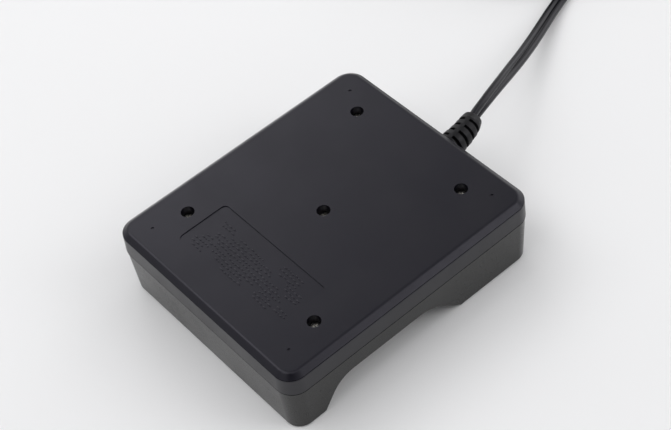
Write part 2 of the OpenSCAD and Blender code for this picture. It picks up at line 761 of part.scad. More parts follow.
// An indicator lamp: its lens shows in a hole of the rim, its legs reach up to the board
module lamp(n) color([0.75, 0.9, 0.75]) translate([bay_x(n), lamp_y, 0]) {
    r = lamp_d / 2;
    nose = 0.3;
    top = 8.6;
    flange = [0.4, 1.2];
    leg = 0.5;
    rotate_extrude() polygon(concat(
        [[0, nose]], [for (a = [15:15:90]) [r * sin(a), nose + 0.8 * r * (1 - cos(a))]],
        [[r, top - flange[1]], [r + flange[0], top - flange[1]], [r + flange[0], top], [0, top]]
    ));
    for (s = [-1, 1]) translate([s * 1.27, 0, 0])
        span([-leg / 2, -leg / 2, top - tiny], [leg / 2, leg / 2, board_z]);
}

module bay_slider(n) color([0.16, 0.16, 0.16]) at_bay(n) {
    back = rest_y - plate_t;
    r = bay_d / 2 - free_gap;
    along(back - upright_t, back) intersection() {
        bay_profile(r);
        union() {
            translate([-r, upright_top + 4]) square([2 * r, bay_floor]);
            translate([-r + 4, upright_top]) square([2 * r - 8, bay_floor]);
            for (s = [-1, 1]) translate([s * (r - 4), upright_top + 4]) circle(4);
        }
    }
    neck = slot_w / 2 - slide_gap;
    span([-neck, back - neck_l, bay_floor - 1.5], [neck, back, foot_z + tiny]);
    span([-foot_w / 2, foot_back, foot_z], [foot_w / 2, foot_front, foot_z + foot_h]);
    span([-foot_w / 2, foot_back, deck_z + 0.05], [-slot_w / 2 - 0.1, foot_front, foot_z + tiny]);
    head_z = spring_z + spring_d / 2 - 0.3;
    span([-spring_d / 2, foot_back, foot_z], [spring_d / 2, foot_back + spigot_l, head_z]);
    translate([0, foot_back + tiny, spring_z]) rotate([90, 0, 0]) cylinder(d = spigot_d, h = spigot_l);
}

// The negative contact: a plate on the slider's face and a wiper that rests on the rail
module bay_contact(n) color([0.8, 0.78, 0.7]) at_bay(n) {
    tab = 1.2;
    back = rest_y - plate_t;
    span([-plate_w / 2, back, plate_low], [plate_w / 2, rest_y, plate_high]);
    span([-tab, back, bay_axis], [tab, rest_y, foot_z]);
    span([-tab, back, wiper_z], [rail_x + rail_w, rest_y + 2.5, foot_z]);
}

// A point of a return spring's wire, after i of its steps
function spring_point(i, steps) = let (
    r = (spring_d - spring_wire) / 2, turn = i / steps,
    y0 = seat_y + spring_wire / 2 + 0.1, y1 = foot_back - spring_wire / 2 - 0.1
) [r * cos(360 * turn), y0 + (y1 - y0) * turn / spring_turns, spring_z + r * sin(360 * turn)];

module bay_spring(n) color([0.7, 0.7, 0.72]) at_bay(n) {
    steps = 10;
    sides = 6;
    rings = spring_turns * steps;
    polyhedron(
        points = [for (i = [0:rings]) let (
            p = spring_point(i, steps),
            along_wire = unit(spring_point(i + 0.5, steps) - spring_point(i - 0.5, steps)),
            out = unit([p[0], 0, p[2] - spring_z]), aside = cross(along_wire, out)
        ) each [for (j = [0:sides - 1]) let (a = 360 * j / sides)
            p + spring_wire / 2 * (cos(a) * out + sin(a) * aside)]],
        faces = tube_faces(rings + 1, sides)
    );
}

module bay_rail(n) color([0.8, 0.75, 0.6]) at_bay(n)
    span([rail_x, seat_y + 2, deck_z], [rail_x + rail_w, board_front + pad_l, deck_z + strip_t]);

// The positive contact: a dimpled plate on the contact wall, folded over it to the board
module bay_positive(n) color([0.8, 0.78, 0.7]) at_bay(n) {
    back = wall_y - plate_t;
    span([-plate_w / 2, back, plate_low], [plate_w / 2, wall_y, plate_high]);
    translate([0, back + tiny, bay_axis]) rotate([90, 0, 0])
        cylinder(d1 = nub_d, d2 = nub_d * 0.6, h = nub_h);
    span([-plate_w / 2, back, bay_axis], [0.5, wall_y, deck_z + strip_t]);
    span([-plate_w / 2, back, deck_z], [0.5, board_front + pad_l, deck_z + strip_t]);
}

base_cover();
housing();
case_screws();
strain_relief();
mains_lead();
lead_coil();
lead_tail();
lead_tie();
plug_body();
plug_blades();
lead_cores();
circuit_board();
transformer_core();
transformer_winding();
input_capacitor();
output_capacitors();
fuse();
bridge_rectifier();
switching_transistor();
heat_sink();
charge_controller();
filter_choke();
lamp(1);  // lamp_1
lamp(2);  // lamp_2
lamp(3);  // lamp_3
lamp(4);  // lamp_4
for (n = bays) {
    bay_slider(n);
    bay_contact(n);
    bay_spring(n);
    bay_rail(n);
    bay_positive(n);
}
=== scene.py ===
"""A four-bay charger for lithium-ion cells, dressed as it lies in its photograph, base cover up.

Lengths are in metres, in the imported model's own frame: X runs across the bays, Y along the cells to the
end that the lead leaves, and Z = 0 is the rim that the case stands on.
"""

import logging
import math
import random
from dataclasses import dataclass, field
from enum import Enum
from functools import cache

import bpy
import numpy as np
from mathutils import Matrix, Vector


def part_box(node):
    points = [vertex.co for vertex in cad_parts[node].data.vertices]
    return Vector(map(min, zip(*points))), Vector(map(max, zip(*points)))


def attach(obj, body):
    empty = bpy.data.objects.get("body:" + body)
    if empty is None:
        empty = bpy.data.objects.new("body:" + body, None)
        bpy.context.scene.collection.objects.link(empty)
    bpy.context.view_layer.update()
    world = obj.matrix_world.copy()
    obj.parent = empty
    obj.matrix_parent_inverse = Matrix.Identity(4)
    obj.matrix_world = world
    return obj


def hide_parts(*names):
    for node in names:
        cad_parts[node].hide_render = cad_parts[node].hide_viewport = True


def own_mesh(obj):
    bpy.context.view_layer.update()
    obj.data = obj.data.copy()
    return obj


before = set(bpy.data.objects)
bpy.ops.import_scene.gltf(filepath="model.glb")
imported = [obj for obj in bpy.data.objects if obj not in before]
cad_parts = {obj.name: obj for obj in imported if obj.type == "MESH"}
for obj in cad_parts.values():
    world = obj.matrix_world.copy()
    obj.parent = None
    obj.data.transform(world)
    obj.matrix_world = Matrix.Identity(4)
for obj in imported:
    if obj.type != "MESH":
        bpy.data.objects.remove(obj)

LOG = logging.getLogger("charger")
MM = 0.001
CASE = "case"
Colour = tuple[float, float, float]
Point = tuple[float, float, float]
Faces = list[tuple[int, ...]]
Piece = bpy.types.Object
Output = bpy.types.NodeSocket
Tree = bpy.types.NodeTree
WELD_REACH = 0.002 * MM
FLAT_ANGLE = 0.4
WHITE: Colour = (1.0, 1.0, 1.0)
DUST_GREY: Colour = (0.5, 0.49, 0.47)


def rgba(colour: Colour) -> tuple[float, float, float, float]:
    """Returns a colour with its alpha of one."""
    return (*colour, 1.0)


class Graph:
    """Short calls that add nodes to a tree and join them."""

    def __init__(self, tree: Tree) -> None:
        """Empties a tree, to fill it anew."""
        self.tree = tree
        tree.nodes.clear()

    def add(self, kind: str, inputs: dict | None = None, **settings: object) -> bpy.types.Node:
        """Adds one node.

        Args:
            kind: The node's type name.
            inputs: A value, a colour or another node's output for each input, by name or number.
            settings: The node's own properties.

        Returns:
            The new node.
        """
        node = self.tree.nodes.new(kind)
        for name, value in settings.items():
            setattr(node, name, value)
        for key, value in (inputs or {}).items():
            socket = node.inputs[key]
            if isinstance(value, Output):
                self.tree.links.new(value, socket)
            else:
                socket.default_value = rgba(value) if socket.type == "RGBA" else value
        return node

    def math(self, operation: str, first: object, second: object = 0.0) -> Output:
        """Works out one number from two.

        Args:
            operation: What is done with them, such as MULTIPLY.
            first: The first number or output.
            second: The second number or output.

        Returns:
            The output that holds the answer.
        """
        return self.add("ShaderNodeMath", {0: first, 1: second}, operation=operation).outputs[0]

    def times(self, first: object, second: object) -> Output:
        """Returns the output of a product."""
        return self.math("MULTIPLY", first, second)

    def plus(self, first: object, second: object) -> Output:
        """Returns the output of a sum."""
        return self.math("ADD", first, second)

    def ramp(self, value: object, low: float, high: float, start: float = 0.0, end: float = 1.0) -> Output:
        """Maps a value smoothly from one range to another.

        Args:
            value: The value to map.
            low: Where the range begins.
            high: Where the range ends.
            start: What low becomes.
            end: What high becomes.

        Returns:
            The mapped value's output.
        """
        return self.add("ShaderNodeMapRange", {"Value": value, "From Min": low, "From Max": high, "To Min": start,
                                               "To Max": end}, interpolation_type="SMOOTHSTEP").outputs["Result"]

    def blend(self, share: object, first: object, second: object) -> Output:
        """Mixes two colours.

        Args:
            share: How much of the second shows, from 0 to 1.
            first: The colour underneath.
            second: The colour on top.

        Returns:
            The mixed colour's output.
        """
        return self.add("ShaderNodeMix", {0: share, 6: first, 7: second}, data_type="RGBA").outputs[2]

    def place(self, group: Tree, **inputs: object) -> dict[str, Output]:
        """Places a shared group with its own values, and returns its outputs."""
        return self.add("ShaderNodeGroup", inputs, node_tree=group).outputs

    def here(self) -> Output:
        """Returns the output that holds the place on the object."""
        return self.add("ShaderNodeTexCoord").outputs["Object"]

    def noise(self, place: object, scale: object, detail: float, rough: float = 0.5) -> Output:
        """Adds a cloudy noise.

        Args:
            place: The output that holds the place.
            scale: How many clouds there are to a metre.
            detail: How many finer layers lie over them.
            rough: How strong each finer layer is.

        Returns:
            The noise's output, about 0.5 on average.
        """
        return self.add("ShaderNodeTexNoise", {"Vector": place, "Scale": scale, "Detail": detail,
                                               "Roughness": rough}).outputs["Fac"]


class Group(Graph):
    """An effect that several finishes share, as a group of nodes."""

    def __init__(self, name: str, **inputs: float | Colour) -> None:
        """Starts a group.

        Args:
            name: The group's name.
            inputs: Each input's starting value, a number or a colour.
        """
        super().__init__(bpy.data.node_groups.new(name, "ShaderNodeTree"))
        for label, value in inputs.items():
            kind, value = ("NodeSocketColor", rgba(value)) if isinstance(value, tuple) else ("NodeSocketFloat", value)
            self.tree.interface.new_socket(label, in_out="INPUT", socket_type=kind).default_value = value
        self.given = self.add("NodeGroupInput").outputs

    def ended(self, **outputs: Output) -> Tree:
        """Ends the group.

        Args:
            outputs: What each of the group's outputs puts out.

        Returns:
            The group.
        """
        for label, output in outputs.items():
            kind = "NodeSocketColor" if output.type == "RGBA" else "NodeSocketFloat"
            self.tree.interface.new_socket(label, in_out="OUTPUT", socket_type=kind)
        self.add("NodeGroupOutput", outputs)
        return self.tree


@cache
def grain_group() -> Tree:
    """Makes the fine spark-cut grain of a mould: its height, and a speck mask."""
    graph = Group("mould_grain", Size=0.4 * MM)
    place = graph.here()
    scale = graph.math("DIVIDE", 1.0, graph.given["Size"])
    pits = graph.add("ShaderNodeTexVoronoi", {"Vector": place, "Scale": scale}, feature="SMOOTH_F1")
    pits.inputs["Smoothness"].default_value = 0.6
    lumps = graph.noise(place, graph.times(scale, 0.45), 3.0, 0.6)
    height = graph.plus(graph.times(pits.outputs["Distance"], 0.5), graph.times(lumps, 0.5))
    return graph.ended(Height=height, Speck=graph.ramp(lumps, 0.56, 0.72))


@cache
def drift_group() -> Tree:
    """Makes the slow drift of a colour over a surface, and the same drift as a value."""
    graph = Group("colour_drift", Colour=(0.5, 0.5, 0.5), Amount=0.15, Patch=30 * MM)
    cloud = graph.noise(graph.here(), graph.math("DIVIDE", 1.0, graph.given["Patch"]), 5.0, 0.62)
    value = graph.ramp(cloud, 0.3, 0.7)
    swing = graph.times(graph.math("SUBTRACT", value, 0.5), graph.given["Amount"])
    lit = graph.add("ShaderNodeHueSaturation", {"Color": graph.given["Colour"], "Value": graph.plus(1.0, swing)})
    return graph.ended(Colour=lit.outputs["Color"], Value=value)


@cache
def edges_group() -> Tree:
    """Makes a mask that is one along sharp edges and fades to zero within the width."""
    graph = Group("edge_rub", Width=0.5 * MM)
    rounded = graph.add("ShaderNodeBevel", {"Radius": graph.given["Width"]}, samples=4).outputs["Normal"]
    flat = graph.add("ShaderNodeNewGeometry").outputs["Normal"]
    same = graph.add("ShaderNodeVectorMath", {0: rounded, 1: flat}, operation="DOT_PRODUCT").outputs["Value"]
    broken = graph.ramp(graph.noise(graph.here(), 300.0, 3.0), 0.3, 0.6, 0.4, 1.0)
    return graph.ended(Mask=graph.times(graph.ramp(same, 0.995, 0.8), broken))


@cache
def scratches_group() -> Tree:
    """Makes a mask of hair-fine handling scratches that run in mixed directions."""
    graph = Group("hair_scratches", Amount=1.0)
    place = graph.here()
    across, along = 1800.0, 40.0
    total: object = 0.0
    for turn, crowding in ((0.5, 1.0), (1.9, 1.3), (2.6, 0.8)):
        turned = graph.add("ShaderNodeMapping", {"Vector": place, "Rotation": (0.0, 0.0, turn),
                                                 "Scale": (across * crowding, along, along)}).outputs[0]
        total = graph.math("MAXIMUM", total, graph.ramp(graph.noise(turned, 1.0, 1.0), 0.7, 0.76))
    share = graph.ramp(graph.noise(place, 60.0, 2.0), 0.45, 0.65)
    return graph.ended(Mask=graph.times(graph.times(total, share), graph.given["Amount"]))


@cache
def dust_group() -> Tree:
    """Makes a mask of the fine dust that settles on what faces up."""
    graph = Group("settled_dust", Amount=0.1)
    facing = graph.add("ShaderNodeSeparateXYZ", {0: graph.add("ShaderNodeNewGeometry").outputs["Normal"]})
    place = graph.here()
    specks = graph.ramp(graph.noise(place, 2600.0, 2.0), 0.68, 0.8)
    film = graph.ramp(graph.noise(place, 45.0, 6.0), 0.35, 0.8, 0.0, 0.35)
    upward = graph.ramp(facing.outputs["Z"], 0.35, 0.95)
    settled = graph.times(graph.plus(specks, film), upward)
    return graph.ended(Mask=graph.times(settled, graph.given["Amount"]))


def shader_of(name: str, settings: dict[str, object]) -> tuple[bpy.types.Material, Graph, bpy.types.Node]:
    """Starts a material that holds one Principled shader.

    Args:
        name: The material's name.
        settings: The plain numbers and colours that are the same all over.

    Returns:
        The material, its graph and its shader.
    """
    material = bpy.data.materials.new(name)
    material.use_nodes = True
    graph = Graph(material.node_tree)
    shader = graph.add("ShaderNodeBsdfPrincipled", settings)
    graph.add("ShaderNodeOutputMaterial", {"Surface": shader.outputs[0]})
    return material, graph, shader


@dataclass(frozen=True)
class Surface:
    """A plain grained finish, which the others build on.

    Attributes:
        name: The material's name.
        colour: Its main colour.
        roughness: How matte it is where it is untouched.
        grain_size: The width of a grain.
        relief: The height of its fine relief.
        drift: How far its colour drifts.
        patch: The width of a patch of that drift.
        speck_matte: How much a grain's speck raises the roughness.
        metallic: One for bare metal, else zero.
        through: How much light passes.
        coat: The weight of a clear lacquer.
        ior: Its index of refraction.
        tint: The colour of its gloss.
        foot_colour: The colour of what lies below foot_top.
        foot_top: The height that the foot ends at, or none.
        foot_fade: The height over which it fades out.
    """

    name: str
    colour: Colour
    roughness: float
    grain_size: float = 0.4 * MM
    relief: float = 0.02 * MM
    drift: float = 0.2
    patch: float = 35 * MM
    speck_matte: float = 0.08
    metallic: float = 0.0
    through: float = 0.0
    coat: float = 0.0
    ior: float = 1.5
    tint: Colour = WHITE
    foot_colour: Colour = WHITE
    foot_top: float | None = None
    foot_fade: float = 0.4 * MM

    def grain(self, graph: Graph) -> tuple[Output, Output]:
        """Adds the grain of a mould.

        Args:
            graph: The material's graph.

        Returns:
            The outputs of its height and of the roughness of its specks.
        """
        grain = graph.place(grain_group(), Size=self.grain_size)
        return grain["Height"], graph.times(grain["Speck"], self.speck_matte)

    def paint(self, graph: Graph, drift: dict[str, Output]) -> tuple[Output, Output, Output]:
        """Adds the nodes that make this finish.

        Args:
            graph: The material's graph.
            drift: The outputs of the colour's drift.

        Returns:
            The outputs of the colour, the roughness and the relief's height.
        """
        height, speck = self.grain(graph)
        return drift["Colour"], graph.plus(speck, self.roughness), height

    @cache
    def material(self) -> bpy.types.Material:
        """Returns the finish's material, which is made when it is first asked for."""
        material, graph, shader = shader_of(self.name, {
            "Metallic": self.metallic, "Transmission Weight": self.through, "Coat Weight": self.coat,
            "IOR": self.ior, "Specular Tint": self.tint})
        colour: object = self.colour
        if self.foot_top is not None:
            height = graph.add("ShaderNodeSeparateXYZ", {0: graph.here()}).outputs["Z"]
            above = graph.ramp(height, self.foot_top, self.foot_top + self.foot_fade)
            colour = graph.blend(above, self.foot_colour, colour)
        drift = graph.place(drift_group(), Colour=colour, Amount=self.drift, Patch=self.patch)
        colour, rough, height = self.paint(graph, drift)
        bump = graph.add("ShaderNodeBump", {"Height": height, "Distance": self.relief, "Strength": 1.0}).outputs[0]
        for output, name in ((colour, "Base Color"), (rough, "Roughness"), (bump, "Normal")):
            graph.tree.links.new(output, shader.inputs[name])
        return material


@dataclass(frozen=True)
class MouldedPlastic(Surface):
    """An opaque plastic or rubber with the grain of its mould.

    Attributes:
        polish: How much handling lowers the roughness.
        rub: How far its edges pale.
        rub_width: How far from an edge the rub reaches.
        dust: How much dust lies on it.
        scratch: How strongly hair scratches show.
        scratch_matte: How much a scratch raises the roughness.
        scratch_depth: How deep a scratch is, as a share of the relief.
    """

    polish: float = 0.08
    rub: float = 0.25
    rub_width: float = 0.6 * MM
    dust: float = 0.0
    scratch: float = 0.0
    scratch_matte: float = 0.25
    scratch_depth: float = 0.6

    def paint(self, graph: Graph, drift: dict[str, Output]) -> tuple[Output, Output, Output]:
        """Adds the grain, the rub along the edges, the dust and the scratches."""
        edge = graph.place(edges_group(), Width=self.rub_width)["Mask"]
        dust = graph.place(dust_group(), Amount=self.dust)["Mask"]
        scratch = graph.place(scratches_group(), Amount=self.scratch)["Mask"]
        height, speck = self.grain(graph)
        paler = tuple(min(1.0, c * 2.2 + 0.01) for c in self.colour)
        worn = graph.blend(graph.times(edge, self.rub), drift["Colour"], paler)
        handled = graph.times(drift["Value"], -self.polish)
        rough = graph.plus(graph.plus(handled, self.roughness), speck)
        rough = graph.plus(rough, graph.times(scratch, self.scratch_matte))
        relief = graph.math("SUBTRACT", height, graph.times(scratch, self.scratch_depth))
        return graph.blend(dust, worn, DUST_GREY), rough, relief


@dataclass(frozen=True)
class Metal(Surface):
    """A bare or plated metal with fine draw lines.

    Attributes:
        lines: How the draw lines stretch the noise along X, Y and Z.
        tarnish: The colour that gathers in patches.
        tarnished: How much of it has tarnished.
        stain_scale: How many patches of tarnish there are to a metre.
    """

    relief: float = 0.004 * MM
    patch: float = 4 * MM
    metallic: float = 1.0
    lines: Point = (3000.0, 150.0, 3000.0)
    tarnish: Colour = (0.12, 0.1, 0.08)
    tarnished: float = 0.25
    stain_scale: float = 350.0

    def paint(self, graph: Graph, drift: dict[str, Output]) -> tuple[Output, Output, Output]:
        """Adds the draw lines and the tarnish."""
        place = graph.here()
        stretched = graph.add("ShaderNodeMapping", {"Vector": place, "Scale": self.lines}).outputs[0]
        drawn = graph.noise(stretched, 1.0, 3.0)
        stain = graph.times(graph.ramp(graph.noise(place, self.stain_scale, 5.0), 0.45, 0.75), self.tarnished)
        lined = graph.ramp(drawn, 0.3, 0.7, self.roughness - 0.06, self.roughness + 0.1)
        return graph.blend(stain, drift["Colour"], self.tarnish), graph.plus(lined, graph.times(stain, 0.4)), drawn


@dataclass(frozen=True)
class Lens(Surface):
    """The milky clear resin of an indicator lamp, or the glass of a fuse."""

    grain_size: float = 0.3 * MM
    relief: float = 0.004 * MM
    drift: float = 0.12
    patch: float = 3 * MM
    speck_matte: float = 0.1
    through: float = 0.8


@dataclass(frozen=True)
class BoardLaminate(Surface):
    """A green circuit board with copper tracks under its lacquer.

    Attributes:
        track: The colour of the lacquer over copper.
        pitch: The distance between tracks.
    """

    relief: float = 0.03 * MM
    drift: float = 0.15
    patch: float = 10 * MM
    coat: float = 0.3
    track: Colour = (0.06, 0.25, 0.1)
    pitch: float = 2.5 * MM

    def paint(self, graph: Graph, drift: dict[str, Output]) -> tuple[Output, Output, Output]:
        """Adds the tracks."""
        cells = graph.add("ShaderNodeTexVoronoi", {"Vector": graph.here(), "Scale": 1.0 / self.pitch,
                                                   "Randomness": 0.8}, distance="MANHATTAN", feature="F1")
        runs = graph.ramp(cells.outputs["Distance"], 0.35, 0.42)
        rough = graph.ramp(drift["Value"], 0.0, 1.0, self.roughness, self.roughness + 0.15)
        return graph.blend(runs, drift["Colour"], self.track), rough, runs


@dataclass(frozen=True)
class Banded(Surface):
    """A finish with bands along one axis, such as wound tape, a sleeve's stripe or enamelled wire.

    Attributes:
        band: The colour of a band.
        axis: The axis that the bands follow each other on.
        pitch: The distance from band to band.
        share: How much of the pitch a band takes.
        fade: How much of the pitch each side of a band's edge takes.
    """

    grain_size: float = 0.5 * MM
    relief: float = 0.03 * MM
    patch: float = 6 * MM
    speck_matte: float = 0.15
    band: Colour = (0.0, 0.0, 0.0)
    axis: str = "X"
    pitch: float = 6.5 * MM
    share: float = 0.5
    fade: float = 0.05

    def paint(self, graph: Graph, drift: dict[str, Output]) -> tuple[Output, Output, Output]:
        """Adds the bands and the grain."""
        along = graph.add("ShaderNodeSeparateXYZ", {0: graph.here()}).outputs[self.axis]
        saw = graph.math("FRACT", graph.math("DIVIDE", along, self.pitch))
        lines = graph.ramp(saw, 1.0 - self.share - self.fade, 1.0 - self.share + self.fade)
        height, speck = self.grain(graph)
        height = graph.plus(graph.times(lines, 0.6), graph.times(height, 0.4))
        return graph.blend(lines, drift["Colour"], self.band), graph.plus(speck, self.roughness), height


class Finish(Enum):
    """Every finish of the charger."""

    COVER = MouldedPlastic("cover_satin", (0.0048, 0.0046, 0.0078), 0.36, 0.5 * MM, 0.008 * MM, ior=1.385,
                           tint=(0.9, 0.88, 1.0), dust=0.012, scratch=0.25, rub=0.3,
                           foot_colour=(0.02, 0.02, 0.021), foot_top=34.5 * MM)
    HOUSING = MouldedPlastic("housing_matte", (0.008, 0.008, 0.0076), 0.28, 0.6 * MM, 0.015 * MM, rub=0.15, ior=1.43)
    SLIDER = MouldedPlastic("slider_matte", (0.024, 0.024, 0.024), 0.5, 0.5 * MM, 0.03 * MM)
    RELIEF = MouldedPlastic("relief_matte", (0.006, 0.006, 0.0065), 0.42, 0.5 * MM, 0.01 * MM, rub=0.1, ior=1.32,
                            tint=(0.95, 0.93, 1.0))
    LEAD = MouldedPlastic("lead_gloss", (0.005, 0.005, 0.0065), 0.16, 0.6 * MM, 0.006 * MM, rub=0.0, polish=0.04,
                          ior=1.36, tint=(0.93, 0.91, 1.0))
    # Painted shade: a near-black finish that barely reflects, for the strips that stand in for the shade in the
    # case's gaps.
    GAP_SHADE = MouldedPlastic("painted_gap_shade", (0.0015, 0.0015, 0.0015), 0.9, 0.4 * MM, 0.03 * MM, rub=0.0, ior=1.05)
    TIE = MouldedPlastic("tie_satin", (0.014, 0.014, 0.014), 0.4, 0.4 * MM, 0.01 * MM)
    RESIN = MouldedPlastic("resin_matte", (0.02, 0.02, 0.02), 0.6, 0.3 * MM, 0.03 * MM)
    FERRITE = MouldedPlastic("ferrite_fired", (0.045, 0.045, 0.05), 0.55, 0.3 * MM, 0.03 * MM, ior=1.8)
    STEEL = Metal("steel_turned", (0.6, 0.59, 0.57), 0.3, tarnish=(0.1, 0.09, 0.08), tarnished=0.35)
    SPRING = Metal("steel_drawn", (0.62, 0.61, 0.6), 0.2)
    NICKEL = Metal("nickel_strip", (0.66, 0.63, 0.57), 0.22, lines=(3000.0, 200.0, 200.0))
    BRASS = Metal("brass_plated", (0.7, 0.64, 0.5), 0.2)
    ALUMINIUM = Metal("extruded_aluminium", (0.75, 0.75, 0.76), 0.35, lines=(3000.0, 3000.0, 120.0))
    LAMP = Lens("lens_milky", (0.62, 0.85, 0.6), 0.25, through=0.6)
    GLASS = Lens("glass_clear", (0.9, 0.92, 0.9), 0.05)
    BOARD = BoardLaminate("board_lacquered", (0.02, 0.12, 0.05), 0.25)
    TAPE = Banded("tape_wound", (0.75, 0.52, 0.1), 0.35, band=(0.5, 0.32, 0.05), axis="Z", pitch=3 * MM, share=0.08)
    SLEEVE = Banded("sleeve_striped", (0.02, 0.03, 0.12), 0.3, band=(0.5, 0.5, 0.52), share=0.2)
    CORES = Banded("cores_paired", (0.03, 0.05, 0.2), 0.4, band=(0.25, 0.1, 0.03), pitch=6.6 * MM)


def dress(piece: Piece, finish: Finish) -> Piece:
    """Gives a piece one finish.

    Args:
        piece: The piece or CAD node.
        finish: Its finish.

    Returns:
        The same piece.
    """
    if not piece.material_slots:
        piece.data.materials.append(None)
    for slot in piece.material_slots:
        slot.material = finish.value.material()
    return piece


@cache
def shading_tree(angle: float) -> Tree:
    """Makes the modifier tree that shades smoothly across edges flatter than an angle.

    Args:
        angle: The angle in degrees.

    Returns:
        The geometry node tree.
    """
    tree = bpy.data.node_groups.new(f"smooth_under_{angle:g}", "GeometryNodeTree")
    tree.is_modifier = True
    tree.interface.new_socket("Geometry", in_out="INPUT", socket_type="NodeSocketGeometry")
    tree.interface.new_socket("Geometry", in_out="OUTPUT", socket_type="NodeSocketGeometry")
    graph = Graph(tree)
    source = graph.add("NodeGroupInput")
    bare = graph.add("GeometryNodeRemoveAttribute", {"Geometry": source.outputs[0], "Name": "custom_normal"})
    bend = graph.add("GeometryNodeInputMeshEdgeAngle").outputs["Unsigned Angle"]
    flat = graph.add("FunctionNodeCompare", {0: bend, 1: math.radians(angle)}, data_type="FLOAT",
                     operation="LESS_THAN")
    faces = graph.add("GeometryNodeSetShadeSmooth", {"Geometry": bare.outputs[0], "Shade Smooth": True},
                      domain="FACE")
    edges = graph.add("GeometryNodeSetShadeSmooth", {"Geometry": faces.outputs[0],
                                                     "Shade Smooth": flat.outputs[0]}, domain="EDGE")
    graph.add("NodeGroupOutput", {0: edges.outputs[0]})
    return tree


def dress_node(name: str, finish: Finish, width: float, segments: int = 2, angle: float = 30.0) -> Piece:
    """Gives a CAD node its finish and rounds its sharp edges.

    Args:
        name: The node's name.
        finish: Its finish.
        width: The width of the rounding.
        segments: How many strips make the rounding.
        angle: The angle in degrees from which an edge counts as sharp.

    Returns:
        The node.
    """
    piece = dress(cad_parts[name], finish)
    sharp = math.radians(angle)
    for label, kind, settings in (
            ("weld", "WELD", {"merge_threshold": WELD_REACH}),
            ("merge_flat_faces", "DECIMATE", {"decimate_type": "DISSOLVE", "angle_limit": math.radians(FLAT_ANGLE)}),
            ("round_edges", "BEVEL", {"width": width, "segments": segments, "limit_method": "ANGLE",
                                      "angle_limit": sharp, "use_clamp_overlap": True, "miter_outer": "MITER_ARC"}),
            ("shade_curves", "NODES", {"node_group": shading_tree(angle)}),
            ("keep_flats_flat", "WEIGHTED_NORMAL", {"keep_sharp": True})):
        modifier = piece.modifiers.new(label, kind)
        for key, value in settings.items():
            setattr(modifier, key, value)
    return piece


def placed(thing: Piece) -> Piece:
    """Returns a new object, put into the scene."""
    bpy.context.scene.collection.objects.link(thing)
    return thing


def mesh_piece(name: str, points: np.ndarray, faces: Faces, finish: Finish) -> Piece:
    """Makes a smooth-shaded piece from points and faces.

    Args:
        name: The piece's name.
        points: Its points, one row each.
        faces: The numbers of each face's points.
        finish: Its finish.

    Returns:
        The new piece.
    """
    mesh = bpy.data.meshes.new(name)
    mesh.from_pydata(points.tolist(), [], faces)
    mesh.shade_smooth()
    return dress(placed(bpy.data.objects.new(name, mesh)), finish)


def loft_faces(rings: int, sides: int) -> Faces:
    """Lists the faces of a closed skin over rings of points.

    Args:
        rings: The number of rings.
        sides: The number of points in each ring.

    Returns:
        The faces.
    """
    faces: Faces = []
    for i in range(rings - 1):
        for j in range(sides):
            a, b = i * sides + j, i * sides + (j + 1) % sides
            faces.append((a, b, b + sides, a + sides))
    return [*faces, tuple(reversed(range(sides))), tuple(range((rings - 1) * sides, rings * sides))]


def unit(rows: np.ndarray) -> np.ndarray:
    """Returns rows with the length of each made one."""
    return rows / np.linalg.norm(rows, axis=1)[:, None]


def towards(azimuth: float, elevation: float) -> Vector:
    """Works out a direction.

    Args:
        azimuth: Its angle in degrees from +Y towards +X.
        elevation: Its angle in degrees above the floor.

    Returns:
        The direction.
    """
    turn, tilt = math.radians(azimuth), math.radians(elevation)
    return Vector((math.sin(turn) * math.cos(tilt), math.cos(turn) * math.cos(tilt), math.sin(tilt)))


def ease(values: np.ndarray, low: float, high: float) -> np.ndarray:
    """Returns how far values have gone from low to high, from 0 to 1, with a soft start and end."""
    share = np.clip((values - low) / (high - low), 0.0, 1.0)
    return share * share * (3.0 - 2.0 * share)


def smooth_path(knots: np.ndarray, step: float) -> np.ndarray:
    """Runs one smooth curve through knots.

    Args:
        knots: Rows that hold a point and any other values that vary along the path.
        step: The rough distance between the curve's points.

    Returns:
        The curve's rows.
    """
    padded = np.vstack([2 * knots[0] - knots[1], knots, 2 * knots[-1] - knots[-2]])
    rows = []
    for a, b, c, d in zip(padded, padded[1:], padded[2:], padded[3:]):
        count = max(1, round(float(np.linalg.norm((c - b)[:3])) / step))
        for t in np.arange(count) / count:
            rows.append(0.5 * (2 * b + (c - a) * t + (2 * a - 5 * b + 4 * c - d) * t**2
                               + (3 * b - a - 3 * c + d) * t**3))
    rows.append(knots[-1])
    return np.array(rows)


def sweep(path: np.ndarray, section: np.ndarray) -> np.ndarray:
    """Carries a flat section along a path whose fourth column is the angle that its width stands up by.

    Args:
        path: Rows of x, y, z and angle in degrees.
        section: Rows of width and thickness coordinates.

    Returns:
        The swept points, ring after ring.
    """
    spots = path[:, :3]
    ahead = unit(np.gradient(spots, axis=0))
    side = unit(np.cross(ahead, (0.0, 0.0, 1.0)))
    rise = np.cross(side, ahead)
    turn = np.radians(path[:, 3])[:, None]
    wide = np.cos(turn) * side + np.sin(turn) * rise
    thin = np.cos(turn) * rise - np.sin(turn) * side
    rings = spots[:, None] + section[None, :, :1] * wide[:, None] + section[None, :, 1:] * thin[:, None]
    return rings.reshape(-1, 3)


